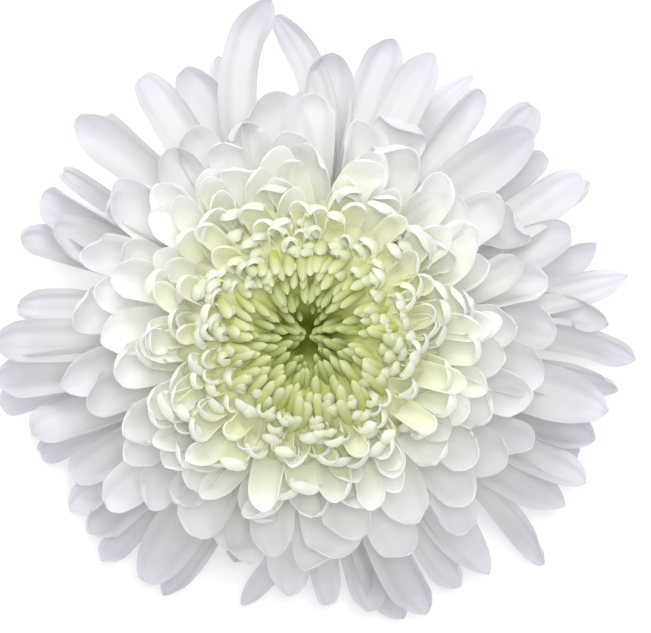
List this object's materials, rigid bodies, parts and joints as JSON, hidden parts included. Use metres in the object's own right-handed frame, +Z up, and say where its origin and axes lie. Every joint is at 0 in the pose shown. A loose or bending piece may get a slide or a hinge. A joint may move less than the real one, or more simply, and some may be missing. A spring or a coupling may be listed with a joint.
{
  "type": "chrysanthemum bloom",
  "caption": "Large white double chrysanthemum head with a green eye, cupped florets and drooping outer rays, cut with a short stub of stem and resting face up.",
  "frame": {"origin": "on the surface that the head rests on, under the middle of its bounding box", "axes": "+Z up, along the growing axis out of the face of the flower, +Y towards the upper edge of the picture"},
  "size_m": [0.1415, 0.1354, 0.061],
  "materials": {
    "stem": "satin, finely ribbed and downy",
    "bract": "matt green with a pale papery edge",
    "receptacle": "matt, moist",
    "green_floret": "satin, lime at the root and cream at the tip",
    "cream_floret": "satin, lime at the root, cream to white at the tip",
    "white_floret": "satin white, finely ribbed lengthwise"
  },
  "bodies": {
    "root": {"stem_stub": "stem", "involucre": "bract", "receptacle": "receptacle", "centre_florets": "green_floret", "inner_ray_florets": "cream_floret", "outer_ray_florets": "white_floret"}
  },
  "joints": []
}
